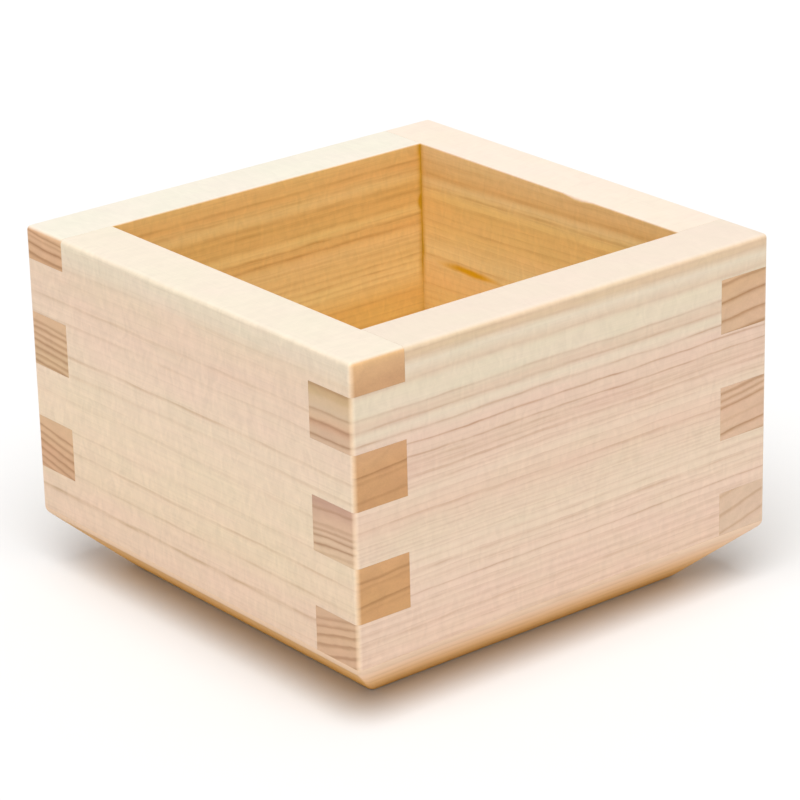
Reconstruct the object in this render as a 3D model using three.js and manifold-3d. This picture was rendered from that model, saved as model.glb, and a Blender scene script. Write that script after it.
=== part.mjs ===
// A square wooden sake box. Four side boards are joined at the corners by
// interlocking fingers and stand glued on a bottom board with a bevelled edge.
// Millimetres, +Z up. The origin is the centre of the underside, and the
// front board is on the -Y side.

import * as THREE from 'three';
import { mergeVertices } from 'three/addons/utils/BufferGeometryUtils.js';
import Module from 'manifold-3d';

const wasm = await Module();
wasm.setup();

// Driving dimensions of the box.
const boxWidth = 85;
const wallThickness = 10.2;
const wallHeight = 49.6;
const baseThickness = 10.6;

// The fingers, counted from the rim down. The lowest one takes what is left.
const levelCount = 6;
const topFingerHeight = 5.5;
const fingerHeight = 9.15;

// The glue between two faces of wood.
const glueLine = 0.06;

// The bevel of the bottom board. Its underside is smaller than the opening of
// the box, so that one box can stand in the rim of another.
const stackClearance = 0.4;

// Radii of the sanded edges.
const outerRound = 0.8;
const innerRound = 0.3;
const bevelRound = 1.6;
const undersideRound = 1.6;

// Steps in each sanded round, and how far a cutter runs past the wood.
const roundSteps = 5;
const cutOverrun = 1;

// Sizes worked out from the ones above.
const quarterTurn = Math.PI / 2;
const sideCount = 4;
const axisCount = 3;
const half = boxWidth / 2;
const innerHalf = half - wallThickness;
const rimTop = baseThickness + wallHeight;
const wallFoot = baseThickness + glueLine;

// One square outline with rounded corners, anticlockwise from above.
function squareOutline(halfWidth, cornerRadius) {
  const points = [];
  for (let corner = 0; corner < sideCount; corner += 1) {
    const start = corner * quarterTurn;
    const middle = new THREE.Vector2(halfWidth - cornerRadius, halfWidth - cornerRadius);
    middle.rotateAround(new THREE.Vector2(), start);
    const steps = cornerRadius > 0 ? roundSteps : 0;
    for (let step = 0; step <= steps; step += 1) {
      const angle = start + (steps > 0 ? (quarterTurn * step) / steps : 0);
      const x = middle.x + cornerRadius * Math.cos(angle);
      const y = middle.y + cornerRadius * Math.sin(angle);
      points.push(new THREE.Vector2(x, y));
    }
  }
  return points;
}

// A closed solid through square outlines, one for each [half width, height] of
// the profile, from the bottom up.
function squareLoft(profile, cornerRadius) {
  const positions = [];
  const indices = [];
  for (const [halfWidth, z] of profile) {
    for (const point of squareOutline(halfWidth, cornerRadius)) {
      positions.push(point.x, point.y, z);
    }
  }
  const around = squareOutline(half, cornerRadius).length;
  const lastRing = (profile.length - 1) * around;
  const bottomCentre = positions.length / axisCount;
  positions.push(0, 0, profile[0][1]);
  const topCentre = bottomCentre + 1;
  positions.push(0, 0, profile[profile.length - 1][1]);
  for (let i = 0; i < around; i += 1) {
    const next = (i + 1) % around;
    for (let ring = 0; ring < lastRing; ring += around) {
      const above = ring + around;
      indices.push(ring + i, ring + next, above + next);
      indices.push(ring + i, above + next, above + i);
    }
    indices.push(bottomCentre, next, i);
    indices.push(topCentre, lastRing + i, lastRing + next);
  }
  const geometry = new THREE.BufferGeometry();
  geometry.setAttribute('position', new THREE.Float32BufferAttribute(positions, axisCount));
  geometry.setIndex(indices);
  return geometry;
}

// Points of a round arc, as [half width, height] pairs, from one angle to another.
function arcProfile(centreHalf, centreZ, radius, fromAngle, toAngle) {
  const points = [];
  for (let step = 0; step <= roundSteps; step += 1) {
    const angle = fromAngle + ((toAngle - fromAngle) * step) / roundSteps;
    points.push([centreHalf + radius * Math.cos(angle), centreZ + radius * Math.sin(angle)]);
  }
  return points;
}

// A mesh as a solid that can be joined and cut, and back again.
function toSolid(geometry) {
  const bare = geometry.clone();
  bare.deleteAttribute('normal');
  bare.deleteAttribute('uv');
  const merged = mergeVertices(bare);
  const vertProperties = Float32Array.from(merged.attributes.position.array);
  const triVerts = Uint32Array.from(merged.index.array);
  return new wasm.Manifold(new wasm.Mesh({ numProp: axisCount, vertProperties, triVerts }));
}

function toGeometry(solid) {
  const { vertProperties, triVerts } = solid.getMesh();
  const geometry = new THREE.BufferGeometry();
  geometry.setAttribute('position', new THREE.BufferAttribute(vertProperties, axisCount));
  geometry.setIndex(new THREE.BufferAttribute(triVerts, 1));
  geometry.computeVertexNormals();
  return geometry;
}

// A box between two corners.
function boxBetween(low, high) {
  const size = new THREE.Vector3().subVectors(high, low);
  const middle = new THREE.Vector3().lerpVectors(low, high, 1 / 2);
  const geometry = new THREE.BoxGeometry(size.x, size.y, size.z);
  return geometry.translate(middle.x, middle.y, middle.z);
}

// The heights between the fingers, from the rim down to the foot of the walls.
function levelHeights() {
  const heights = [rimTop];
  for (let level = 0; level < levelCount - 1; level += 1) {
    heights.push(rimTop - topFingerHeight - level * fingerHeight);
  }
  heights.push(baseThickness);
  return heights;
}

// The space that a neighbour's finger takes out of one end of a side board.
// End -1 is the board's left end as seen from outside, and 1 its right end.
function socket(end, level) {
  const heights = levelHeights();
  const isTop = level === 0;
  const isBottom = level === levelCount - 1;
  const high = heights[level] + (isTop ? cutOverrun : glueLine / 2);
  const low = heights[level + 1] - (isBottom ? cutOverrun : glueLine / 2);
  const shoulder = end * (innerHalf - glueLine);
  const beyond = end * (half + cutOverrun);
  return boxBetween(
    new THREE.Vector3(Math.min(shoulder, beyond), -half - cutOverrun, low),
    new THREE.Vector3(Math.max(shoulder, beyond), -innerHalf + cutOverrun, high),
  );
}

// The outside of the walls as sanded after gluing: rounded upright corners and
// a rounded outer edge along the rim.
function sandedOutside() {
  const profile = [[half, baseThickness - cutOverrun]];
  profile.push(...arcProfile(half - outerRound, rimTop - outerRound, outerRound, 0, quarterTurn));
  return squareLoft(profile, outerRound);
}

// What sanding takes off the rim's inner edge, as one ring-shaped flare.
function rimFlare() {
  const centreHalf = innerHalf + innerRound;
  const centreZ = rimTop - innerRound;
  const profile = arcProfile(centreHalf, centreZ, innerRound, Math.PI, quarterTurn);
  profile.push([centreHalf, rimTop + cutOverrun]);
  return squareLoft(profile, 0);
}

// One side board, standing on the -Y side. Its left end has fingers on the
// even levels and its right end on the odd ones, counted from 1 at the rim, so
// that four alike interlock all the way round.
function sideBoard() {
  const blank = boxBetween(
    new THREE.Vector3(-half, -half, wallFoot),
    new THREE.Vector3(half, -innerHalf, rimTop),
  );
  let board = toSolid(blank);
  for (let level = 0; level < levelCount; level += 1) {
    const end = level % 2 === 0 ? -1 : 1;
    board = board.subtract(toSolid(socket(end, level)));
  }
  board = board.intersect(toSolid(sandedOutside()));
  board = board.subtract(toSolid(rimFlare()));
  return toGeometry(board);
}

// The bottom board: full width where the walls stand on it, then a bevel on
// all four sides that meets in a mitre at each corner. The bevel leaves the
// wall, and meets the underside, in a sanded round. Its angle is the one at
// which a straight line touches both rounds.
function bottomBoard() {
  const undersideHalf = innerHalf - stackClearance;
  const inset = half - undersideHalf - bevelRound;
  const reach = Math.hypot(baseThickness, inset);
  const slope = Math.acos(bevelRound / reach) - Math.atan2(inset, baseThickness);
  const tangent = undersideRound * Math.tan(slope / 2);
  const lower = arcProfile(
    undersideHalf - tangent,
    undersideRound,
    undersideRound,
    -quarterTurn,
    slope - quarterTurn,
  );
  const upper = arcProfile(half - bevelRound, baseThickness, bevelRound, slope - quarterTurn, 0);
  return squareLoft([...lower, ...upper], outerRound);
}

// Bare planed wood, in its own colour and roughness.
function wood(color, roughness) {
  return new THREE.MeshStandardMaterial({ color, roughness, metalness: 0 });
}

function addPiece(parent, name, geometry, material) {
  const piece = new THREE.Mesh(geometry, material);
  piece.name = name;
  parent.add(piece);
}

const sakeBox = new THREE.Group();

const sideNames = ['front_board', 'right_board', 'back_board', 'left_board'];
const sideColors = ['#e9cfb6', '#e6cba9', '#e8cdac', '#ead2b8'];
const sideRoughness = 0.62;
sideNames.forEach((name, index) => {
  const side = new THREE.Group();
  side.rotation.z = index * quarterTurn;
  addPiece(side, name, sideBoard(), wood(sideColors[index], sideRoughness));
  sakeBox.add(side);
});

const baseRoughness = 0.58;
addPiece(sakeBox, 'base_board', bottomBoard(), wood('#dcb184', baseRoughness));

export default sakeBox;
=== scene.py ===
"""A square sake box of bare hinoki cypress, laid out as a Blender add-on and run as a script.

Four side boards, alike in shape, interlock at the corners with six levels of fingers and stand
on a base board with a bevelled edge. Lengths are metres, apart from the wood's pattern, which is
in millimetres as the material reads it. +Z is up, the origin is the centre of the underside and
the front board is on the -Y side.
"""

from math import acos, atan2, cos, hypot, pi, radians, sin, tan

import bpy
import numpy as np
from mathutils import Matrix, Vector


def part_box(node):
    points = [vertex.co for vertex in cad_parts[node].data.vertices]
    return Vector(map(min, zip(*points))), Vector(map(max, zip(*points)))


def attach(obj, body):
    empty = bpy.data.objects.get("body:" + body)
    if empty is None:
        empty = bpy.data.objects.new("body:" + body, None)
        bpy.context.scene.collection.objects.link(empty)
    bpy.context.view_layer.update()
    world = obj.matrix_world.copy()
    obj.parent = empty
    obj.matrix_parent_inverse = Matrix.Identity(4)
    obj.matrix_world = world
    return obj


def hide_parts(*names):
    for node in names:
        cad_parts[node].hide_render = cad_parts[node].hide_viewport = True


bl_info = {
    "name": "Wooden Sake Box",
    "version": (1, 0, 0),
    "blender": (4, 5, 0),
    "location": "3D View > Sidebar > Sake Box",
    "description": "Finger-jointed side boards, a bevelled base board and a plain studio",
    "category": "Add Mesh",
}

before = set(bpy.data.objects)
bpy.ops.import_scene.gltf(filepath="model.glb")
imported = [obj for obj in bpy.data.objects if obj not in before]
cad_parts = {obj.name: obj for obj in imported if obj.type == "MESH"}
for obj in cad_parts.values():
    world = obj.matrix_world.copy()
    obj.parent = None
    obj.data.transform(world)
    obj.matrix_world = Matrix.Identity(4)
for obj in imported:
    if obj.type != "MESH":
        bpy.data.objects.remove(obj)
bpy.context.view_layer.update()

MM = 0.001
QUARTER_TURN = pi / 2
BODY = "root"

# The frame's own sizes, from the side board on the -Y side and from the base under it.
board_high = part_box("front_board")[1]
base_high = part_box("base_board")[1]
HALF_WIDTH = board_high.x
INNER_HALF = -board_high.y
WALL_THICKNESS = HALF_WIDTH - INNER_HALF
RIM_TOP = board_high.z
BASE_THICKNESS = base_high.z

# The side boards in the order in which they stand round the box, a quarter turn apart.
BOARDS = ("front_board", "right_board", "back_board", "left_board")
LEVELS = 6
ROUND_STEPS = 8
SHARP_ANGLE = radians(40)

# The chip in the right board's rim: where its middle is along the board, and where the mesh has
# rows of points for it, as shares of its width from the inner face.
CHIP_ALONG = -8.4 * MM
CHIP_ROWS = (1, 0.8, 0.6, 0.45)

# The heights that a wood's colour ramps cover, in millimetres above the joint with the base.
RAMP_START = -4.0
RAMP_SPAN = 60.0
RAMPS_PER_WOOD = 4

# Columns of a ring in WOODS: its strength on the face and on the end.
ON_FACE = 3
ON_END = 4

# How far apart two patterns of noise are, for each unit of their seeds.
SEED_STEPS = (7.3, 3.1, 5.7)

# How far the rings wander, in millimetres, slowly along the board and from fibre to fibre.
SWAY = 1.0
RAGGED = 0.5

# The thin rings: how far apart they are and over what height they fade out, in millimetres, and
# how sharp their dark edges are.
THIN_SPACING = 1.3
THIN_FADE = 6
THIN_SHARPNESS = 5.0

# How strongly rings show on the end, how far the rim's paler colour covers it (painted light
# on the top, lit from above), how strong the fibres are beside the rays' flecks, and how high
# late wood stands beside the fibres.
END_SHARE = 0.85
RIM_LIGHT_SHARE = 0.9
FIBRE_SHARE = 0.6
LATE_RELIEF = 0.5

# The soft edge of the glue bead with its painted corner shade, the band of painted highlight on
# the upright corners and the wave of the pitch, in millimetres, and how fast the bead and its
# shade thin out.
BEAD_AND_SHADE_FADE = 1.2
BEAD_AND_SHADE_SHARPNESS = 1.6
HIGHLIGHT_WIDTH = 0.9
HIGHLIGHT_EDGE = 0.1
PITCH_WAVE = 1.2

# The base board's rings: the way across them, how far apart they are and how far they wander,
# in millimetres.
BASE_ACROSS = (0.01, 1, 0.25)
BASE_SPACING = 1.9
BASE_SWAY = 4.0

# The base board's fold under the walls, kept pale as painted highlight: the depths in
# millimetres down to which it is plain and by which it is gone, and how much of the grain it
# hides. Below it the edge deepens with a power of the depth, painted shade by the floor.
FOLD_PLAIN = 0.6
FOLD_GONE = 2.0
FOLD_SHARE = 0.85
SHADE_DEEPENING = 1.2

# The floor: its radius and where its rise begins, in metres, how steeply it rises, how many
# rings and sides it has, and the root of the first ring's share of the radius.
FLOOR_RADIUS = 4.0
FLAT_RADIUS = 1.5
FLOOR_RISE = 0.15
FLOOR_RINGS = 40
FLOOR_SIDES = 96
FLOOR_MIDDLE = 0.02

# Where the soft light comes from.
KEY_AZIMUTH = radians(-45)
KEY_ELEVATION = radians(65)

# The photograph's camera. The lengths are in widths of the box: how high above the base board
# it aims, how far off it is, and how far it is set to the right and down.
CAMERA_AZIMUTH = radians(-38.608)
CAMERA_ELEVATION = radians(21.690)
CAMERA_ROLL = radians(-1.436)
CAMERA_LENS = 159.5
CAMERA_AIM = 0.3
CAMERA_DISTANCE = 6.807
CAMERA_RIGHT = 0.007
CAMERA_DOWN = 0.060


def linear(hex_code):
    """An sRGB colour such as "e8cfb4" as linear red, green and blue, with an alpha of 1."""
    channels = np.array([int(hex_code[i:i + 2], 16) for i in (0, 2, 4)]) / 255
    low = channels / 12.92
    high = ((channels + 0.055) / 1.055) ** 2.4
    return (*np.where(channels <= 0.04045, low, high), 1.0)


# Each side board's wood. Heights are millimetres above the joint with the base, half way along
# the board on its outer face. "face" and "end" are the colours of the plain wood at heights,
# along and across the grain. A ring is its height, its soft width below and above the dark
# edge, and its strength on the face and on the end. "late" and "end_late" are what the rings
# darken to, and "rim" is the rim's paler colour, painted light on the top, lit from above.
# "slope" is how far the rings drop for each unit of depth, at the rim, and "fan" is how much
# that grows by the joint. "tilt" is how far they rise along the board. "fine" is the strength of
# the thin rings in between, and the height where they end. "grain" is how strongly fibres and
# flecks shade the wood. "pitch" is a pocket's middle and its reach each way, and "blot" the
# middle of a blot of glue, with its painted corner shade: along, inwards and up.
WOODS = {
    "front_board": {
        "face": (
            (0, "e9c9b0"), (6, "e8cab3"), (11, "e9cdb5"), (16, "e9d2b8"), (20, "e8cfb5"),
            (22.6, "e6c7ae"), (26, "e9cfb6"), (30, "e5c6ae"), (35.2, "e6c9b2"), (37.6, "e6d3ba"),
            (39.4, "e0c5ab"), (41.2, "e5d4ba"), (43.4, "e6d5ba"), (44.7, "e1c9ae"),
            (46.4, "e6d5bc"), (48.1, "dec29f"), (49.6, "e6ccac"),
        ),
        "end": (
            (0, "cea685"), (5, "d4ad8a"), (9, "d2ab8a"), (17, "d9bb98"), (20.5, "d8b798"),
            (23, "d4b092"), (26, "c29a82"), (34.5, "d5b294"), (37.4, "d2ae90"), (38.4, "d0a484"),
            (39.2, "d8b391"), (41, "d4b797"), (42.6, "d3b48f"), (43.4, "caa97f"), (45, "c4a074"),
        ),
        "rings": (
            (0.7, 0.5, 0.3, 0.4, 0.5), (2.2, 0.5, 0.3, 0.4, 0.9), (3.9, 0.6, 0.3, 0.6, 0.8),
            (5.3, 0.5, 0.3, 0.35, 0.9), (6.6, 0.4, 0.3, 0.3, 0.7), (7.8, 0.5, 0.3, 0.4, 0.6),
            (9.6, 0.5, 0.3, 0.35, 0.4), (11.3, 0.5, 0.3, 0.45, 0.4), (13.1, 0.7, 0.3, 0.55, 0.4),
            (15.0, 0.4, 0.3, 0.3, 0.4), (16.6, 0.5, 0.3, 0.35, 0.4), (17.9, 0.5, 0.3, 0.4, 0.4),
            (19.2, 0.5, 0.3, 0.4, 0.85), (20.4, 0.4, 0.3, 0.35, 0.8), (21.4, 0.4, 0.3, 0.2, 0.75),
            (22.4, 0.7, 0.3, 0.4, 0.4), (24.9, 0.4, 0.3, 0.2, 0.6), (27.2, 0.5, 0.3, 0.45, 0.4),
            (28.9, 0.5, 0.3, 0.6, 0.4), (29.9, 0.4, 0.3, 0.5, 0.4), (31.0, 0.6, 0.3, 0.6, 0.4),
            (32.1, 0.4, 0.25, 0.95, 0.5), (34.2, 0.4, 0.25, 1.0, 0.5), (36.3, 0.5, 0.3, 0.8, 0.8),
            (38.7, 0.8, 0.3, 0.65, 0.75), (40.5, 0.5, 0.3, 0.5, 0.55), (44.4, 0.7, 0.4, 0.35, 0.6),
            (47.6, 0.9, 0.5, 0.3, 0.3), (48.7, 0.6, 0.4, 0.3, 0.3),
        ),
        "late": "bd9477",
        "end_late": "94683f",
        "rim": "e4d5c4",
        "slope": 0.05,
        "fan": 0.22,
        "tilt": 0.004,
        "fine": (0.38, 36),
        "grain": 0.06,
        "seed": 1,
    },
    "right_board": {
        "face": (
            (0, "edceaa"), (12, "ebd4ad"), (22, "ebd0aa"), (28, "efd1b2"), (33, "f1dbc4"),
            (37, "efd1ac"), (41, "eccaa0"), (42.8, "eed2aa"), (45, "e9d1b9"), (46.4, "e3bf9d"),
            (49.6, "e6c9b1"),
        ),
        "end": (
            (0, "dcbea4"), (6, "dbbca0"), (16, "dab698"), (22, "dbb698"), (33.6, "d7b08e"),
            (37, "d8b290"), (41.6, "d7ae86"), (44, "d8b28c"),
        ),
        "rings": (
            (1.2, 0.6, 0.3, 0.5, 0.5), (4.1, 0.6, 0.3, 0.5, 0.55), (7.1, 0.7, 0.3, 0.4, 0.4),
            (10.6, 0.7, 0.3, 0.5, 0.4), (15.3, 0.6, 0.3, 0.5, 0.6), (17.3, 0.6, 0.3, 0.6, 0.95),
            (19.3, 0.4, 0.3, 0.3, 0.3), (21.6, 0.5, 0.3, 0.6, 0.9), (22.8, 0.5, 0.3, 0.4, 0.75),
            (24.0, 0.5, 0.3, 0.5, 0.9), (26.5, 0.7, 0.3, 0.4, 0.4), (29.7, 0.7, 0.3, 0.4, 0.4),
            (31.6, 0.9, 0.5, 0.35, 0.0), (33.8, 0.7, 0.3, 0.2, 1.0), (35.0, 0.9, 0.5, 0.3, 0.0),
            (36.3, 0.8, 0.3, 0.1, 0.85), (38.0, 0.9, 0.5, 0.35, 0.0), (39.4, 0.8, 0.3, 0.1, 1.0),
            (41.7, 0.8, 0.5, 0.4, 0.0), (42.3, 0.6, 0.3, 0.0, 0.9), (43.9, 0.6, 0.4, 0.8, 0.0),
            (46.3, 0.8, 0.4, 0.7, 0.0), (48.9, 0.8, 0.4, 0.4, 0.0),
        ),
        "late": "b98a52",
        "end_late": "a1713f",
        "rim": "ecddcb",
        "slope": 0.07,
        "fan": 0.17,
        "tilt": -0.04,
        "fine": (0.3, 60),
        "grain": 0.075,
        "seed": 2,
        "pitch": ((19.5, 10.2, 29.7), (10.4, 3.0, 0.95)),
    },
    "back_board": {
        "face": (
            (0, "eccca6"), (10, "eed0ac"), (20, "e8c996"), (23.5, "e9c694"), (27.4, "f3dec0"),
            (31, "f0d6b6"), (34, "f1d7ba"), (36.4, "ecc89e"), (38.4, "f2d7b2"), (40, "eac69a"),
            (42.6, "e9c496"), (44.6, "f1d4b2"), (46.5, "eac196"), (49.6, "ebc8a0"),
        ),
        "end": (
            (0, "d4a983"), (12, "d2a681"), (14.8, "d9b18a"), (28, "d5b18a"), (33, "dab48f"),
            (44, "d5a67c"), (46, "d5aa84"), (49.6, "d8ad86"),
        ),
        "rings": (
            (1.4, 0.6, 0.3, 0.5, 0.5), (3.0, 0.6, 0.3, 0.6, 0.6), (4.6, 0.6, 0.3, 0.5, 0.6),
            (8.6, 0.5, 0.3, 0.6, 0.7), (9.8, 0.5, 0.3, 0.7, 0.8), (11.2, 0.6, 0.3, 0.7, 0.9),
            (12.6, 0.6, 0.3, 0.7, 0.9), (13.9, 0.6, 0.3, 0.5, 0.8), (15.2, 0.5, 0.3, 0.5, 0.8),
            (20.2, 0.6, 0.3, 0.4, 0.4), (24.0, 0.6, 0.3, 0.4, 0.4), (26.7, 0.6, 0.4, 0.45, 0.8),
            (27.8, 0.5, 0.3, 0.4, 0.8), (29.0, 0.6, 0.4, 0.55, 0.8), (30.2, 0.6, 0.4, 0.45, 0.85),
            (31.3, 0.5, 0.3, 0.4, 0.8), (32.5, 0.6, 0.4, 0.5, 0.8), (33.6, 0.5, 0.3, 0.5, 0.7),
            (35.9, 0.6, 0.4, 1.0, 0.6), (37.3, 0.6, 0.4, 1.0, 0.6), (39.7, 0.8, 0.4, 0.5, 0.0),
            (41.7, 0.8, 0.4, 0.6, 0.3), (43.0, 0.8, 0.4, 0.6, 0.5), (45.4, 0.9, 0.3, 0.6, 0.95),
            (47.1, 0.6, 0.3, 0.6, 0.95), (48.2, 0.4, 0.3, 0.3, 0.5), (49.0, 0.4, 0.3, 0.3, 0.8),
        ),
        "late": "b98a50",
        "end_late": "996a3c",
        "rim": "e6e1d2",
        "slope": 0.05,
        "fan": 0.25,
        "tilt": -0.003,
        "fine": (0.3, 60),
        "grain": 0.075,
        "seed": 3,
        "blot": (-32.3, 10.2, 39.0),
    },
    "left_board": {
        "face": (
            (0, "e4c6ac"), (6, "e6c9ae"), (10, "e7ceb0"), (20, "e9d1b4"), (28, "e8d0b5"),
            (33, "e8cdb4"), (40, "e6cab1"), (44, "e7cdb2"), (47, "e5d2b9"), (49.6, "e6d6bc"),
        ),
        "end": (
            (0, "ca9865"), (12, "cd9b67"), (16, "d3a16f"), (26, "c99766"), (31, "ce9c6b"),
            (35, "d3a276"), (44.5, "cb9c70"), (47, "d5a87a"), (49.6, "e8bc86"),
        ),
        "rings": (
            (0.9, 0.5, 0.3, 0.25, 0.2), (4.7, 0.8, 0.4, 0.9, 0.3), (8.9, 0.6, 0.35, 0.55, 0.2),
            (10.0, 0.5, 0.3, 0.15, 0.8), (12.8, 0.6, 0.3, 0.75, 0.3), (13.9, 0.5, 0.3, 0.1, 0.75),
            (16.6, 0.5, 0.3, 0.4, 0.2), (21.9, 0.5, 0.3, 0.35, 0.3), (26.8, 0.5, 0.3, 0.5, 0.5),
            (29.9, 0.6, 0.3, 0.85, 0.3), (30.9, 0.5, 0.2, 0.1, 0.8), (35.5, 0.5, 0.3, 0.3, 0.2),
            (38.8, 0.5, 0.3, 0.6, 0.2), (42.6, 0.5, 0.3, 0.2, 0.0), (45.1, 0.5, 0.3, 0.35, 0.0),
        ),
        "late": "c09d7a",
        "end_late": "95673a",
        "rim": "e6dac7",
        "slope": -0.06,
        "fan": 0.0,
        "tilt": 0.008,
        "fine": (0.15, 60),
        "grain": 0.08,
        "seed": 4,
    },
}


def length(name, default, description):
    """A length of the object as a property in metres."""
    return bpy.props.FloatProperty(
        name=name, description=description, default=default, min=0.0,
        unit="LENGTH", subtype="DISTANCE", precision=6,
    )


def colour(name, default, description):
    """A colour as a property, with its default in sRGB hex."""
    return bpy.props.FloatVectorProperty(
        name=name, description=description, default=linear(default), size=4,
        min=0.0, max=1.0, subtype="COLOR",
    )


class BoxShape(bpy.types.PropertyGroup):
    """The sizes of the joints and of the sanded edges."""

    top_finger: length("Top finger", 5.5 * MM, "Height of the finger under the rim")
    finger: length("Finger", 9.15 * MM, "Height of each of the next four fingers")
    glue_line: length("Glue line", 0.02 * MM, "Gap between two glued faces")
    outer_round: length("Outer round", 0.8 * MM, "Radius of the corners and the rim's outer edge")
    rim_round: length("Rim round", 0.3 * MM, "Radius of the rim's inner edge")
    bevel_round: length("Bevel round", 1.6 * MM, "Radius where the bevel leaves the wall")
    underside_round: length("Underside round", 1.6 * MM, "Radius round the underside")
    stack_clearance: length("Stack clearance", 0.4 * MM, "Gap round an underside set in a rim")
    chip_length: length("Chip length", 3.2 * MM, "Half the length of the chip in the rim")
    chip_width: length("Chip width", 0.9 * MM, "Width of the chip on the rim")


class WoodLook(bpy.types.PropertyGroup):
    """The colours that the boards share."""

    # Painted bounce light and shade: the inner faces are deepened towards orange against the toned
    # outer faces, as light bounced round inside the box would colour them.
    outside: colour("Outside", "f3f5f8", "What the outer faces are toned by")
    inside: colour("Inside", "fff9ca", "What the inner faces are deepened by")
    # Glue, and painted shade: the bead in the inner corners also stands for the shade that falls
    # there.
    glue: colour("Glue", "cc9f06", "Glue that shows in the inner corners")
    pitch: colour("Pitch", "dba606", "The streak of pitch in the right board")
    # Painted highlight on the rounded upright corners between two side boards.
    arris_highlight: colour("Arris", "f4dcbe", "The sanded corners between two side boards")
    # Painted highlight: the base board's fold under the walls is kept as pale as the lit walls.
    base_fold_highlight: colour("Base fold", "e3c5a9", "The base board's edge where it meets the walls")
    base_face: colour("Base face", "e9c8ae", "The base board along the grain")
    base_end: colour("Base end", "c09258", "The base board across the grain")
    base_late: colour("Base late wood", "a06c36", "The lines of the base board's rings")
    base_inside: colour("Base inside", "d6ab68", "The base board's top, inside the box")
    # Painted shade: the warm amber that the base board's edge deepens to by the underside, near the
    # floor.
    base_low_shade: colour("Base low", "f2b656", "The base board's edge by the underside")
    base_under: colour("Base under", "e3c093", "The base board's underside")


class Studio(bpy.types.PropertyGroup):
    """The light and the floor."""

    sky: bpy.props.FloatProperty(
        name="Sky", description="Strength of the even white surroundings", default=0.58, min=0.0
    )
    key: bpy.props.FloatProperty(
        name="Key", description="Strength of the soft light overhead", default=2.85, min=0.0
    )
    softness: bpy.props.FloatProperty(
        name="Softness", description="Width of the soft light as an angle",
        default=radians(50), min=0.0, subtype="ANGLE",
    )
    floor: colour("Floor", "dddddd", "The floor")


def add_node(tree, kind, inputs=(), stops=(), **settings):
    """Adds a node with its settings, its ramp's stops, and a value or a link for each input.

    A node that is given for an input stands for its first output.
    """
    node = tree.nodes.new(kind)
    for name, value in settings.items():
        setattr(node, name, value)
    if stops:
        ramp = node.color_ramp
        for _ in stops[2:]:
            ramp.elements.new(1.0)
        for element, (position, rgba) in zip(ramp.elements, stops):
            element.position = position
            element.color = rgba
    for socket, value in dict(inputs).items():
        if isinstance(value, bpy.types.Node):
            value = value.outputs[0]
        if isinstance(value, bpy.types.NodeSocket):
            tree.links.new(value, node.inputs[socket])
        else:
            node.inputs[socket].default_value = value
    return node


def arris_drop(radius, distance):
    """How far a rounded edge stands back at a distance from the face that it rounds off.

    It is a quarter circle's sagitta: the radius less the root of the radius squared less the
    square of (radius - distance), and nothing at distances past the radius.
    """
    short = np.clip(radius - distance, 0.0, radius)
    return radius - np.sqrt(np.maximum(radius**2 - short**2, 0.0))


def level_heights(shape):
    """Heights between the fingers, from the rim down to the base board."""
    steps = [0.0, shape.top_finger] + [shape.finger] * (LEVELS - 2)
    return np.append(RIM_TOP - np.cumsum(steps), BASE_THICKNESS)


def comb_sides(shape):
    """The right and left sides of the comb outline, each from the rim down.

    Fingers reach the box's width on the odd levels at the right end and on the even levels at
    the left end, counted from 1 at the rim, and the other levels stop at the shoulder. A row is
    along, height, and the outward signs of its upright and its level edge.
    """
    heights = level_heights(shape)
    gap = shape.glue_line / 2
    shoulder = INNER_HALF - shape.glue_line
    wall_foot = BASE_THICKNESS + shape.glue_line
    sides = {1: [], -1: []}
    for level in range(LEVELS):
        for end, rows in sides.items():
            is_finger = level % 2 == (0 if end > 0 else 1)
            reach = end * (HALF_WIDTH if is_finger else shoulder)
            flank = 1 if is_finger else -1
            top = RIM_TOP if level == 0 else heights[level] - flank * gap
            foot = wall_foot if level == LEVELS - 1 else heights[level + 1] + flank * gap
            rows.append((reach, top, end, 1 if level == 0 else flank))
            rows.append((reach, foot, end, -1 if level == LEVELS - 1 else -flank))
    return np.array(sides[1]), np.array(sides[-1])


def comb_outline(shape):
    """The closed outline of a side board seen from outside, anticlockwise from its foot.

    The columns are along, height, outward sign along, outward sign upwards, and how far the
    point leans from a square corner for a unit of corner radius, along and upwards. Only the
    rim's corner over the top finger leans, by (cosine - 1, sine - 1) round a quarter turn.
    """
    right, left = comb_sides(shape)
    corner = right[0]
    turn = np.linspace(0, QUARTER_TURN, ROUND_STEPS + 1)
    arc = np.tile(np.append(corner, (0, 0)), (len(turn), 1))
    arc[:, 4] = np.cos(turn) - 1
    arc[:, 5] = np.sin(turn) - 1

    # The rim has points all along, for the chip, and closer ones by its inner corner.
    mitre = INNER_HALF + shape.rim_round * np.cos(turn)
    run = np.linspace(INNER_HALF, left[0, 0], int(HALF_WIDTH / MM) + 1)[1:-1]
    rim = np.zeros((len(mitre) + len(run), 6))
    rim[:, 0] = np.concatenate([mitre, run])
    rim[:, 1] = RIM_TOP
    rim[:, 3] = 1

    upright = len(right) - 1
    plain = np.zeros((upright + len(left), 6))
    plain[:, :4] = np.concatenate([right[:0:-1], left])
    return np.concatenate([plain[:upright], arc, rim, plain[upright:]])


def chip_drop(shape, along, distance):
    """How deep the chip in the rim is at a place along it and a distance from its inner edge.

    It is half its width, times a cosine bell along the rim, times the square of what is left of
    the width at that distance.
    """
    bell = np.cos(np.clip((along - CHIP_ALONG) / shape.chip_length, -1, 1) * QUARTER_TURN)
    left = np.clip(1 - distance / shape.chip_width, 0, 1)
    return shape.chip_width / 2 * bell * left**2


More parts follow.
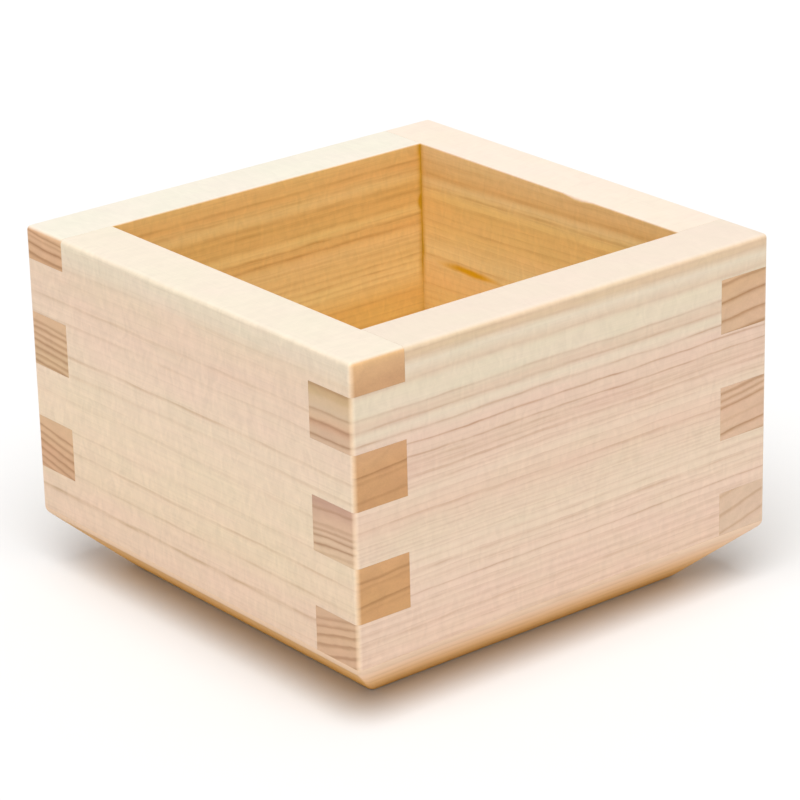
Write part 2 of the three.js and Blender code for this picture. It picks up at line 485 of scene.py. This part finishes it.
def board_surface(shape, chipped):
    """A side board as rings of points, standing on the -Y side.

    The comb outline is carried through the board's thickness, and at each depth an edge stands
    back by the drop of its own round: the outer round on finger ends and along the rim, the rim
    round along the rim's inner edge, and nothing on glued edges. The rim's inner round dies out
    past the opening, where the distance past its corner counts as the distance from the face.
    """
    outline = comb_outline(shape)
    along, height, side, level, lean_along, lean_up = outline.T
    on_end = np.isclose(np.abs(along), HALF_WIDTH)
    on_rim = np.isclose(height, RIM_TOP) & (level > 0)

    turn = np.linspace(0, QUARTER_TURN, ROUND_STEPS + 1)
    outer_depths = shape.outer_round * (1 - np.cos(turn))
    chip_depths = WALL_THICKNESS - shape.chip_width * np.array(CHIP_ROWS)
    inner_depths = WALL_THICKNESS - shape.rim_round * (1 - np.cos(turn[::-1]))
    depths = np.concatenate([
        outer_depths[:1], outer_depths, chip_depths, inner_depths, inner_depths[-1:]
    ])[:, None]
    # A thin flat ring round each big face keeps the rounds from bending its shading.
    support = np.zeros_like(depths)
    support[[0, -1]] = shape.glue_line

    outer_drop = arris_drop(shape.outer_round, depths)
    past_opening = np.maximum(along - INNER_HALF, 0)
    inner_drop = arris_drop(shape.rim_round, np.maximum(WALL_THICKNESS - depths, past_opening))
    back_along = outer_drop * on_end + support
    if chipped:
        inner_drop = inner_drop + chip_drop(shape, along, WALL_THICKNESS - depths)
    back_up = (outer_drop + inner_drop) * on_rim + support
    corner_radius = np.maximum(shape.outer_round - outer_drop, shape.glue_line / 4)

    x = along - side * back_along + corner_radius * lean_along
    z = height - level * back_up + corner_radius * lean_up
    y = np.broadcast_to(depths - HALF_WIDTH, x.shape)
    return np.stack([x, y, z], axis=-1)


def round_square(half_widths, corner_radius, heights):
    """Rings of points: a square with round corners at each height, anticlockwise from above."""
    turn = np.linspace(0, QUARTER_TURN, ROUND_STEPS + 1)
    angles = (np.arange(4)[:, None] * QUARTER_TURN + turn).ravel()
    corners = np.repeat(np.arange(4) * QUARTER_TURN + QUARTER_TURN / 2, len(turn))
    middle = (half_widths[:, None] - corner_radius) / cos(QUARTER_TURN / 2)
    x = middle * np.cos(corners) + corner_radius * np.cos(angles)
    y = middle * np.sin(corners) + corner_radius * np.sin(angles)
    z = np.broadcast_to(heights[:, None], x.shape)
    return np.stack([x, y, z], axis=-1)


def base_surface(shape):
    """The base board as rings of points, from its top face down.

    The profile is an arc that leaves the wall upright, the bevel as a straight line that touches
    both arcs, and an arc round the underside. The bevel line passes through the underside's
    edge, so its angle is the arc cosine of (bevel round / reach) less the arc tangent of
    (inset / thickness), reach being the diagonal of thickness and inset. It goes round a square.
    """
    underside_half = INNER_HALF - shape.stack_clearance
    inset = HALF_WIDTH - underside_half - shape.bevel_round
    slope = acos(shape.bevel_round / hypot(BASE_THICKNESS, inset)) - atan2(inset, BASE_THICKNESS)
    tangent = shape.underside_round * tan(slope / 2)
    upper = np.linspace(0, slope - QUARTER_TURN, ROUND_STEPS + 1)
    lower = np.linspace(slope - QUARTER_TURN, -QUARTER_TURN, ROUND_STEPS + 1)
    half_widths = np.concatenate([
        [HALF_WIDTH - shape.glue_line],
        HALF_WIDTH - shape.bevel_round + shape.bevel_round * np.cos(upper),
        underside_half - tangent + shape.underside_round * np.cos(lower),
        [underside_half - tangent - shape.glue_line],
    ])
    heights = np.concatenate([
        [BASE_THICKNESS],
        BASE_THICKNESS + shape.bevel_round * np.sin(upper),
        shape.underside_round * (1 + np.sin(lower)),
        [0.0],
    ])
    return round_square(half_widths, shape.outer_round, heights)


def turned(points, angle):
    """The points turned round the vertical axis by an angle."""
    turn = np.array(((cos(angle), -sin(angle), 0), (sin(angle), cos(angle), 0), (0, 0, 1)))
    return points @ turn.T


def ring_faces(ring_count, around):
    """The numbers of the points ring by ring, and the quads between neighbouring rings."""
    index = np.arange(ring_count * around).reshape(ring_count, around)
    following = np.roll(index, -1, axis=1)
    quads = np.stack([index[:-1], index[1:], following[1:], following[:-1]], axis=-1)
    return index, quads.reshape(-1, 4).tolist()


def smooth_mesh(name, points, faces):
    """A smooth-shaded mesh from rings of points and its faces."""
    mesh = bpy.data.meshes.new(name)
    mesh.from_pydata(points.reshape(-1, 3).tolist(), [], faces)
    mesh.update()
    mesh.shade_smooth()
    return mesh


def closed_mesh(name, points):
    """A closed mesh from rings of points: quads between the rings and one flat face at each end.

    The points are an array of rings by points round the ring by three. Each ring runs
    anticlockwise as seen from the first ring's side, so that every face looks outwards.
    """
    index, quads = ring_faces(*points.shape[:2])
    mesh = smooth_mesh(name, points, quads + [index[0].tolist(), index[-1][::-1].tolist()])
    mesh.set_sharp_from_angle(angle=SHARP_ANGLE)
    return mesh


def mark_cuts(mesh, angle):
    """Stores in "cut" how each face lies in its board: across the grain, upwards and inwards.

    Each is the face normal's share along that direction, in the board's own frame, from 0 to 1.
    """
    normals = np.zeros(len(mesh.polygons) * 3)
    mesh.polygons.foreach_get("normal", normals)
    normals = turned(normals.reshape(-1, 3), -angle)
    cut = np.stack([np.abs(normals[:, 0]), normals[:, 2], normals[:, 1]], axis=-1).clip(0, 1)
    mesh.attributes.new("cut", "FLOAT_VECTOR", "FACE").data.foreach_set("vector", cut.ravel())


def add_object(name, data):
    """A new object in the scene."""
    item = bpy.data.objects.new(name, data)
    bpy.context.scene.collection.objects.link(item)
    return item


def add_piece(name, mesh, material, node):
    """Puts a finished mesh in the scene in place of its CAD node, riding on the body."""
    mesh.materials.append(material)
    piece = add_object(name, mesh)
    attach(piece, BODY)
    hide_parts(node)


def ramp_place(height):
    """Where a height lies on a wood's ramps, from 0 to 1."""
    return (height - RAMP_START) / RAMP_SPAN


def mottling(tree, vector, lengths, seed, detail=2.0, distortion=0.0):
    """Soft mottling whose blots are about as long as the lengths, from 0 to 1."""
    scaled = add_node(
        tree, "ShaderNodeVectorMath",
        {0: vector, 1: [1 / size for size in lengths], 2: [seed * step for step in SEED_STEPS]},
        operation="MULTIPLY_ADD",
    )
    return add_node(
        tree, "ShaderNodeTexNoise",
        {"Vector": scaled, "Scale": 1.0, "Detail": detail, "Distortion": distortion},
    )


def band_colour(tree, height, bands):
    """The plain wood's colour at a height, blended from band to band."""
    stops = [(ramp_place(at), linear(hex_code)) for at, hex_code in bands]
    return add_node(tree, "ShaderNodeValToRGB", {"Fac": height}, stops)


def ring_strength(tree, height, rings, column):
    """How dark the late wood is at a height: each ring darkens slowly and ends at once."""
    total = None
    for first in range(RAMPS_PER_WOOD):
        greys = []
        for ring in rings[first::RAMPS_PER_WOOD]:
            at, below, above = ring[:3]
            dark = ring[column]
            greys += [(at - below, 0), (at - below / 2, dark / 4), (at, dark), (at + above, 0)]
        stops = [(ramp_place(at), (grey, grey, grey, 1)) for at, grey in greys]
        ramp = add_node(tree, "ShaderNodeValToRGB", {"Fac": height}, stops)
        if total is None:
            total = ramp
        else:
            total = add_node(tree, "ShaderNodeMath", {0: total, 1: ramp}, operation="MAXIMUM")
    return total


def ring_place(tree, board, wood):
    """Where a point lies among the rings: the height at which its ring meets the outer face.

    It is the height, plus the depth times a slope that grows with the cube of the share of the
    way down, less the tilt along the board, plus slow sway and small raggedness.
    """
    axes = add_node(tree, "ShaderNodeSeparateXYZ", {0: board})
    rim_height = (RIM_TOP - BASE_THICKNESS) / MM
    down = add_node(
        tree, "ShaderNodeMapRange",
        {"Value": axes.outputs["Z"], "From Min": rim_height, "From Max": 0.0},
    )
    cubed = add_node(tree, "ShaderNodeMath", {0: down, 1: 3.0}, operation="POWER")
    slope = add_node(
        tree, "ShaderNodeMath",
        {0: cubed, 1: wood["fan"], 2: wood["slope"]}, operation="MULTIPLY_ADD",
    )
    straight = add_node(
        tree, "ShaderNodeVectorMath", {0: board, 1: (-wood["tilt"], 0, 1)}, operation="DOT_PRODUCT"
    ).outputs["Value"]
    fanned = add_node(
        tree, "ShaderNodeMath",
        {0: axes.outputs["Y"], 1: slope, 2: straight}, operation="MULTIPLY_ADD",
    )
    sway = mottling(tree, board, (34, 14, 9), wood["seed"], detail=1.0)
    swayed = add_node(
        tree, "ShaderNodeMath", {0: sway, 1: SWAY, 2: fanned}, operation="MULTIPLY_ADD"
    )
    ragged = mottling(tree, board, (6, 4, 1.0), wood["seed"], detail=3.0)
    return add_node(
        tree, "ShaderNodeMath", {0: ragged, 1: RAGGED, 2: swayed}, operation="MULTIPLY_ADD"
    )


def fine_strength(tree, ring, wood):
    """How dark the thin rings between the marked ones are, up to the height where they end."""
    strength, top = wood["fine"]
    saw = add_node(tree, "ShaderNodeMath", {0: ring, 1: THIN_SPACING}, operation="FLOORED_MODULO")
    share = add_node(tree, "ShaderNodeMath", {0: saw, 1: THIN_SPACING}, operation="DIVIDE")
    thin = add_node(tree, "ShaderNodeMath", {0: share, 1: THIN_SHARPNESS}, operation="POWER")
    lasting = add_node(
        tree, "ShaderNodeMapRange",
        {"Value": ring, "From Min": top, "From Max": top - THIN_FADE, "To Max": strength},
    )
    return add_node(tree, "ShaderNodeMath", {0: thin, 1: lasting}, operation="MULTIPLY")


def glue_and_shade_strength(tree, board, wood):
    """How much of the glue and its painted corner shade there is near the inner corners, 0 to 1.

    The glue squeezed out in a soft bead of a varying width, which also stands for the shade in
    the corner, wider in a blot where there was more, and was mostly wiped off lower down.
    """
    axes = add_node(tree, "ShaderNodeSeparateXYZ", {0: board})
    along = add_node(tree, "ShaderNodeMath", {0: axes.outputs["X"]}, operation="ABSOLUTE")
    squeezed = mottling(tree, board, (60, 60, 9), wood["seed"] + 60, detail=3.0)
    width = add_node(
        tree, "ShaderNodeMapRange",
        {"Value": squeezed, "From Min": 0.5, "From Max": 0.72, "To Min": 1.1, "To Max": 1.6},
    )
    if "blot" in wood:
        distance = add_node(
            tree, "ShaderNodeVectorMath", {0: board, 1: wood["blot"]}, operation="DISTANCE"
        ).outputs["Value"]
        blot = add_node(
            tree, "ShaderNodeMapRange",
            {"Value": distance, "From Min": 3.6, "From Max": 0.0, "To Max": 1.9},
            interpolation_type="SMOOTHSTEP",
        )
        width = add_node(tree, "ShaderNodeMath", {0: width, 1: blot}, operation="MAXIMUM")
    reached = add_node(tree, "ShaderNodeMath", {0: along, 1: width})
    near = add_node(
        tree, "ShaderNodeMapRange",
        {"Value": reached, "From Min": INNER_HALF / MM, "From Max": INNER_HALF / MM + BEAD_AND_SHADE_FADE},
    )
    bead = add_node(tree, "ShaderNodeMath", {0: near, 1: BEAD_AND_SHADE_SHARPNESS}, operation="POWER")
    left_on = add_node(
        tree, "ShaderNodeMapRange",
        {
            "Value": axes.outputs["Z"],
            "From Min": 23.0,
            "From Max": 27.0,
            "To Min": 0.35,
            "To Max": 0.95,
        },
    )
    return add_node(tree, "ShaderNodeMath", {0: bead, 1: left_on}, operation="MULTIPLY")


def arris_highlight_strength(tree, board):
    """How much painted highlight lightens the upright corners, for about a millimetre."""
    axes = add_node(tree, "ShaderNodeSeparateXYZ", {0: board})
    along = add_node(tree, "ShaderNodeMath", {0: axes.outputs["X"]}, operation="ABSOLUTE")
    near_end = add_node(
        tree, "ShaderNodeMapRange",
        {
            "Value": along,
            "From Min": HALF_WIDTH / MM - HIGHLIGHT_WIDTH,
            "From Max": HALF_WIDTH / MM - HIGHLIGHT_EDGE,
        },
        interpolation_type="SMOOTHSTEP",
    )
    near_face = add_node(
        tree, "ShaderNodeMapRange",
        {
            "Value": axes.outputs["Y"],
            "From Min": HIGHLIGHT_WIDTH,
            "From Max": HIGHLIGHT_EDGE,
            "To Max": 0.5,
        },
        interpolation_type="SMOOTHSTEP",
    )
    return add_node(tree, "ShaderNodeMath", {0: near_end, 1: near_face}, operation="MULTIPLY")


def pitch_strength(tree, board, wood):
    """A pocket of pitch that lies along the rings, a wavy spindle with soft ends."""
    middle, reach = wood["pitch"]
    wave = mottling(tree, board, (7, 4, 2), wood["seed"] + 70, detail=3.0)
    waved = add_node(
        tree, "ShaderNodeVectorMath",
        {0: wave, 1: (0, 0, PITCH_WAVE), 2: board}, operation="MULTIPLY_ADD",
    )
    spindle = add_node(tree, "ShaderNodeVectorMath", {0: waved, 1: middle}, operation="SUBTRACT")
    scaled = add_node(tree, "ShaderNodeVectorMath", {0: spindle, 1: reach}, operation="DIVIDE")
    pocket = add_node(tree, "ShaderNodeTexGradient", {"Vector": scaled}, gradient_type="SPHERICAL")
    return add_node(
        tree, "ShaderNodeMapRange",
        {"Value": pocket.outputs["Fac"], "From Max": 0.8}, interpolation_type="SMOOTHSTEP",
    )


def shaded_fibres(tree, board, wood, upwards):
    """The fibres, and what they and the rays' flecks multiply the colour by, less on the rim."""
    fibre = mottling(tree, board, (14, 0.35, 0.28), wood["seed"] + 20, detail=3.0)
    ray = mottling(tree, board, (1.4, 4, 2.6), wood["seed"] + 30, detail=5.0, distortion=1.0)
    both = add_node(
        tree, "ShaderNodeMath", {0: fibre, 1: FIBRE_SHARE, 2: ray}, operation="MULTIPLY_ADD"
    )
    uneven = add_node(
        tree, "ShaderNodeMapRange",
        {
            "Value": both,
            "From Min": 0.5,
            "From Max": 1.1,
            "To Min": -wood["grain"],
            "To Max": wood["grain"],
        },
    )
    smoother = add_node(
        tree, "ShaderNodeMapRange", {"Value": upwards, "To Min": 1.0, "To Max": 0.5}
    )
    shade = add_node(
        tree, "ShaderNodeMath", {0: uneven, 1: smoother, 2: 1.0}, operation="MULTIPLY_ADD"
    )
    return fibre, shade


def facing(tree, axis, low, high):
    """How far a face lies along a way that mark_cuts stored, from none at low to all at high.

    The axis is X for across the grain, Y for upwards and Z for inwards.
    """
    cut = add_node(tree, "ShaderNodeAttribute", attribute_name="cut")
    cuts = add_node(tree, "ShaderNodeSeparateXYZ", {0: cut.outputs["Vector"]})
    return add_node(
        tree, "ShaderNodeMapRange", {"Value": cuts.outputs[axis], "From Min": low, "From Max": high}
    )


def board_frame(tree, origin, angle):
    """Where a point lies in a board's own frame, turned by an angle, in millimetres."""
    place = add_node(tree, "ShaderNodeTexCoord")
    return add_node(
        tree, "ShaderNodeMapping",
        {
            "Vector": place.outputs["Object"],
            "Location": origin,
            "Rotation": (0, 0, -angle),
            "Scale": (1 / MM, 1 / MM, 1 / MM),
        },
    )


def layered(tree, colour_below, layers):
    """A colour with layers over it, each of them the share that it covers and its colour."""
    for share, colour_above in layers:
        colour_below = add_node(
            tree, "ShaderNodeMix", {"Factor": share, 6: colour_below, 7: colour_above},
            data_type="RGBA",
        ).outputs[2]
    return colour_below


def bare_wood(name):
    """A new material without any nodes yet."""
    material = bpy.data.materials.new(name)
    material.use_nodes = True
    material.node_tree.nodes.clear()
    return material


def finish_wood(tree, coloured, relief, rough):
    """Ends a wood's nodes in a bare, dull surface with the fibres in very low relief."""
    bump = add_node(
        tree, "ShaderNodeBump", {"Strength": 0.3, "Distance": 0.04 * MM, "Height": relief}
    )
    shader = add_node(
        tree, "ShaderNodeBsdfPrincipled",
        {
            "Base Color": coloured,
            "Roughness": rough,
            "IOR": 1.5,
            "Specular IOR Level": 0.3,
            "Normal": bump,
        },
    )
    add_node(tree, "ShaderNodeOutputMaterial", {"Surface": shader})


def planed_hinoki(name, wood, angle, look):
    """Hinoki cypress, quarter-sawn, planed and sanded, bare.

    The eye sees straight, fine lines where late wood ends each year's ring, faint fibres along
    them, pale flecks of the rays across them, and the same rings much darker on end grain. The
    rings are worked out in the solid, so they run on from a face on to the end of the board.
    """
    material = bare_wood(name)
    tree = material.node_tree
    board = board_frame(tree, (0, HALF_WIDTH / MM, -BASE_THICKNESS / MM), angle)

    # The noise is a half on average, so half of what it adds to the height comes off again.
    ring = ring_place(tree, board, wood)
    offset = (SWAY + RAGGED) / 2
    height = add_node(
        tree, "ShaderNodeMapRange",
        {
            "Value": ring,
            "From Min": RAMP_START + offset,
            "From Max": RAMP_START + RAMP_SPAN + offset,
        },
    )

    face = band_colour(tree, height, wood["face"])
    end = band_colour(tree, height, wood["end"])
    late = ring_strength(tree, height, wood["rings"], ON_FACE)
    end_late = ring_strength(tree, height, wood["rings"], ON_END)

    across = facing(tree, "X", 0.4, 0.8)
    upwards = facing(tree, "Y", 0.45, 0.98)
    inwards = facing(tree, "Z", 0.85, 1.0)

    # Along the face a ring's line thins and breaks off here and there, and is milder inside.
    lines = add_node(tree, "ShaderNodeMath", {0: fine_strength(tree, ring, wood), 1: late})
    broken = mottling(tree, board, (8, 4, 0.9), wood["seed"] + 10, detail=4.0)
    kept = add_node(
        tree, "ShaderNodeMapRange",
        {"Value": broken, "From Min": 0.36, "From Max": 0.64, "To Min": 0.35, "To Max": 0.95},
    )
    milder = add_node(tree, "ShaderNodeMapRange", {"Value": inwards, "To Min": 1.0, "To Max": 0.75})
    face_kept = add_node(tree, "ShaderNodeMath", {0: kept, 1: milder}, operation="MULTIPLY")
    face_late = add_node(
        tree, "ShaderNodeMath", {0: lines, 1: face_kept}, operation="MULTIPLY", use_clamp=True
    )
    face_ringed = layered(tree, face, [(face_late, linear(wood["late"]))])
    end_part = add_node(tree, "ShaderNodeMath", {0: end_late, 1: END_SHARE}, operation="MULTIPLY")
    end_ringed = layered(tree, end, [(end_part, linear(wood["end_late"]))])

    # End grain, the rim's paler colour as painted light from above, and the deeper tone of the
    # inner faces as painted bounce light and shade.
    rim_light_part = add_node(tree, "ShaderNodeMath", {0: upwards, 1: RIM_LIGHT_SHARE}, operation="MULTIPLY")
    end_and_rim_lit = layered(tree, face_ringed, [(across, end_ringed), (rim_light_part, linear(wood["rim"]))])
    side_bounce_tone = layered(tree, look.outside, [(inwards, look.inside)])
    bounce_toned = add_node(
        tree, "ShaderNodeVectorMath", {0: end_and_rim_lit, 1: side_bounce_tone}, operation="MULTIPLY"
    )

    # What lies on the wood or in it, and painted light: glue on the inner faces with painted
    # shade in their corners, a painted highlight on the upright corners, and pitch.
    glue_and_shade = add_node(
        tree, "ShaderNodeMath", {0: glue_and_shade_strength(tree, board, wood), 1: inwards},
        operation="MULTIPLY",
    )
    marks = [(glue_and_shade, look.glue), (arris_highlight_strength(tree, board), look.arris_highlight)]
    if "pitch" in wood:
        marks.append((pitch_strength(tree, board, wood), look.pitch))
    marked = layered(tree, bounce_toned, marks)

    # Slow change between a pinkish and a creamy tone, then fibres and flecks.
    cloud = mottling(tree, board, (11, 9, 3.5), wood["seed"] + 40)
    tones = ((0.3, linear("fffbfa")), (0.7, linear("fcfcf8")))
    tone = add_node(tree, "ShaderNodeValToRGB", {"Fac": cloud}, tones)
    toned = add_node(tree, "ShaderNodeVectorMath", {0: marked, 1: tone}, operation="MULTIPLY")
    fibre, shade = shaded_fibres(tree, board, wood, upwards)
    finished = add_node(
        tree, "ShaderNodeVectorMath", {0: toned, "Scale": shade}, operation="SCALE"
    )
    relief = add_node(
        tree, "ShaderNodeMath", {0: late, 1: LATE_RELIEF, 2: fibre}, operation="MULTIPLY_ADD"
    )
    rough = add_node(tree, "ShaderNodeMapRange", {"Value": fibre, "To Min": 0.5, "To Max": 0.7})
    finish_wood(tree, finished, relief, rough)
    return material


def bevelled_hinoki(look):
    """Hinoki cypress lying flat, its edge cut back at a slant, bare.

    The eye sees plain pinkish wood along the grain on the front and back, and the deeper amber
    of end grain on the other two sides, which starts below a plain, pale fold under the walls,
    painted highlight. All four darken towards the underside, painted warm shade, and the
    underside is plain again. Weak rings run through it all.
    """
    material = bare_wood("bevelled_hinoki")
    tree = material.node_tree
    board = board_frame(tree, (0, 0, 0), 0)
    axes = add_node(tree, "ShaderNodeSeparateXYZ", {0: board})
    across = facing(tree, "X", 0.4, 0.7)
    # The fold is kept pale as painted highlight.
    fold = add_node(
        tree, "ShaderNodeMapRange",
        {
            "Value": axes.outputs["Z"],
            "From Min": BASE_THICKNESS / MM - FOLD_GONE,
            "From Max": BASE_THICKNESS / MM - FOLD_PLAIN,
            "To Max": FOLD_SHARE,
        },
        interpolation_type="SMOOTHSTEP",
    )

    # The edge deepens towards the underside, painted shade near the floor, and the underside is
    # plain again.
    low = add_node(
        tree, "ShaderNodeMapRange",
        {"Value": axes.outputs["Z"], "From Min": BASE_THICKNESS / MM, "From Max": 0.0},
    )
    lower = add_node(tree, "ShaderNodeMath", {0: low, 1: SHADE_DEEPENING}, operation="POWER")
    under = add_node(
        tree, "ShaderNodeMapRange", {"Value": axes.outputs["Z"], "From Min": 0.3, "From Max": 0.0}
    )

    # Weak rings run along the board. On its ends they are stronger, below the pale fold.
    sway = mottling(tree, board, (30, 14, 14), 50, detail=3.0)
    level = add_node(
        tree, "ShaderNodeVectorMath", {0: board, 1: BASE_ACROSS}, operation="DOT_PRODUCT"
    ).outputs["Value"]
    ring = add_node(
        tree, "ShaderNodeMath", {0: sway, 1: BASE_SWAY, 2: level}, operation="MULTIPLY_ADD"
    )
    saw = add_node(tree, "ShaderNodeMath", {0: ring, 1: BASE_SPACING}, operation="FLOORED_MODULO")
    broken = mottling(tree, board, (8, 3, 3), 70, detail=4.0)
    kept = add_node(
        tree, "ShaderNodeMapRange",
        {"Value": broken, "From Min": 0.38, "From Max": 0.62, "To Min": 0.04, "To Max": 0.2},
    )
    late = add_node(
        tree, "ShaderNodeMapRange",
        {"Value": saw, "From Min": 0.9, "From Max": BASE_SPACING, "To Max": kept},
    )
    past_fold = add_node(
        tree, "ShaderNodeMapRange",
        {"Value": fold, "From Max": FOLD_SHARE, "To Min": 0.9, "To Max": -0.7},
    )
    stronger = add_node(
        tree, "ShaderNodeMath", {0: across, 1: past_fold, 2: 1.0}, operation="MULTIPLY_ADD"
    )
    marked = add_node(tree, "ShaderNodeMath", {0: late, 1: stronger}, operation="MULTIPLY")
    # Over the wood lie the fold's painted highlight and the edge's painted shade by the underside.
    ringed = layered(tree, look.base_face, [
        (across, look.base_end),
        (fold, look.base_fold_highlight),
        (facing(tree, "Y", 0.0, 1.0), look.base_inside),
        (lower, look.base_low_shade),
        (under, look.base_under),
        (marked, look.base_late),
    ])
    fibre = mottling(tree, board, (14, 0.35, 0.3), 60, detail=3.0)
    shade = add_node(tree, "ShaderNodeMapRange", {"Value": fibre, "To Min": 0.94, "To Max": 1.06})
    finished = add_node(
        tree, "ShaderNodeVectorMath", {0: ringed, "Scale": shade}, operation="SCALE"
    )
    finish_wood(tree, finished, fibre, rough=0.6)
    return material


class SAKEBOX_OT_side_boards(bpy.types.Operator):
    """Make the four side boards, alike in shape and each of its own wood"""

    bl_idname = "sakebox.side_boards"
    bl_label = "Side Boards"

    def execute(self, context):
        shape = context.scene.sakebox_shape
        look = context.scene.sakebox_look
        for index, board in enumerate(BOARDS):
            surface = board_surface(shape, chipped=board == "right_board")
            angle = index * QUARTER_TURN
            mesh = closed_mesh(board + "_planed", turned(surface, angle))
            mark_cuts(mesh, angle)
            wood = planed_hinoki("hinoki_" + board, WOODS[board], angle, look)
            add_piece(board + "_planed", mesh, wood, board)
        return {"FINISHED"}


class SAKEBOX_OT_base_board(bpy.types.Operator):
    """Make the base board with its bevelled edge"""

    bl_idname = "sakebox.base_board"
    bl_label = "Base Board"

    def execute(self, context):
        shape = context.scene.sakebox_shape
        mesh = closed_mesh("base_board_bevelled", base_surface(shape))
        mark_cuts(mesh, 0)
        wood = bevelled_hinoki(context.scene.sakebox_look)
        add_piece("base_board_bevelled", mesh, wood, "base_board")
        return {"FINISHED"}


def floor_mesh():
    """A round floor that rises gently far out: height = 0 up to a radius, then a square law."""
    radii = np.linspace(FLOOR_MIDDLE, 1, FLOOR_RINGS)[:, None] ** 2 * FLOOR_RADIUS
    angles = np.linspace(0, 2 * pi, FLOOR_SIDES + 1)[:-1][None]
    rise = FLOOR_RISE * np.maximum(radii - FLAT_RADIUS, 0) ** 2
    x = radii * np.cos(angles)
    y = radii * np.sin(angles)
    points = np.stack([x, y, np.broadcast_to(rise, x.shape)], axis=-1)
    index, quads = ring_faces(*points.shape[:2])
    return smooth_mesh("floor", points, quads + [index[0].tolist()])


def add_floor(colour_value):
    """The pale matt floor."""
    material = bpy.data.materials.new("matt_paper_floor")
    material.use_nodes = True
    shader = material.node_tree.nodes["Principled BSDF"]
    shader.inputs["Base Color"].default_value = colour_value
    shader.inputs["Roughness"].default_value = 0.9
    shader.inputs["Specular IOR Level"].default_value = 0.1
    mesh = floor_mesh()
    mesh.materials.append(material)
    floor = add_object("floor", mesh)


def add_sky(strength):
    """Even white surroundings."""
    world = bpy.data.worlds.new("white_surroundings")
    world.use_nodes = True
    background = world.node_tree.nodes["Background"]
    background.inputs["Color"].default_value = (1, 1, 1, 1)
    background.inputs["Strength"].default_value = strength
    bpy.context.scene.world = world


def direction(azimuth, elevation):
    """The unit vector towards an azimuth from -Y, positive towards +X, and an elevation."""
    return Vector((
        sin(azimuth) * cos(elevation), -cos(azimuth) * cos(elevation), sin(elevation)
    ))


def add_key(strength, softness):
    """One large soft light above the near corner, so that both near faces get the same."""
    data = bpy.data.lights.new("soft_key", "SUN")
    data.energy = strength
    data.angle = softness
    light = add_object("soft_key", data)
    towards = direction(KEY_AZIMUTH, KEY_ELEVATION)
    light.rotation_euler = towards.to_track_quat("Z", "Y").to_euler()


def add_camera():
    """The camera at the photograph's angle, distance and roll."""
    width = 2 * HALF_WIDTH
    aim = Vector((0, 0, BASE_THICKNESS + CAMERA_AIM * width))
    back = direction(CAMERA_AZIMUTH, CAMERA_ELEVATION)
    level_right = Vector((0, 0, 1)).cross(back).normalized()
    level_up = back.cross(level_right)
    right = level_right * cos(CAMERA_ROLL) + level_up * sin(CAMERA_ROLL)
    up = level_up * cos(CAMERA_ROLL) - level_right * sin(CAMERA_ROLL)
    data = bpy.data.cameras.new("camera")
    data.sensor_width = 36
    data.lens = CAMERA_LENS
    data.clip_start = 0.01
    camera = add_object("camera", data)
    offset = back * CAMERA_DISTANCE + right * CAMERA_RIGHT - up * CAMERA_DOWN
    axes = Matrix((right, up, back)).transposed()
    camera.matrix_world = Matrix.Translation(aim + offset * width) @ axes.to_4x4()
    bpy.context.scene.camera = camera


class SAKEBOX_OT_stage(bpy.types.Operator):
    """Set the floor, the light and the camera"""

    bl_idname = "sakebox.stage"
    bl_label = "Studio"

    def execute(self, context):
        studio = context.scene.sakebox_studio
        add_floor(studio.floor)
        add_sky(studio.sky)
        add_key(studio.key, studio.softness)
        add_camera()
        context.scene.view_settings.view_transform = "Standard"
        return {"FINISHED"}


class SAKEBOX_PT_panel(bpy.types.Panel):
    """The box's sizes and colours, and a button for each group of pieces"""

    bl_label = "Sake Box"
    bl_idname = "SAKEBOX_PT_panel"
    bl_space_type = "VIEW_3D"
    bl_region_type = "UI"
    bl_category = "Sake Box"

    def draw(self, context):
        layout = self.layout
        scene = context.scene
        for group in (scene.sakebox_shape, scene.sakebox_look, scene.sakebox_studio):
            box = layout.box()
            for name in group.bl_rna.properties.keys():
                if name not in ("rna_type", "name"):
                    box.prop(group, name)
        layout.operator("sakebox.side_boards")
        layout.operator("sakebox.base_board")
        layout.operator("sakebox.stage")


CLASSES = (
    BoxShape,
    WoodLook,
    Studio,
    SAKEBOX_OT_side_boards,
    SAKEBOX_OT_base_board,
    SAKEBOX_OT_stage,
    SAKEBOX_PT_panel,
)
SETTINGS = {"sakebox_shape": BoxShape, "sakebox_look": WoodLook, "sakebox_studio": Studio}


def register():
    """Registers the classes and hangs their settings on the scene."""
    for cls in CLASSES:
        bpy.utils.register_class(cls)
    for name, group in SETTINGS.items():
        setattr(bpy.types.Scene, name, bpy.props.PointerProperty(type=group))


def unregister():
    """Takes the settings and the classes away again."""
    for name in SETTINGS:
        delattr(bpy.types.Scene, name)
    for cls in reversed(CLASSES):
        bpy.utils.unregister_class(cls)


def main():
    """Registers the add-on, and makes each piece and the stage."""
    register()
    bpy.ops.sakebox.side_boards()
    bpy.ops.sakebox.base_board()
    bpy.ops.sakebox.stage()


if __name__ == "__main__":
    main()
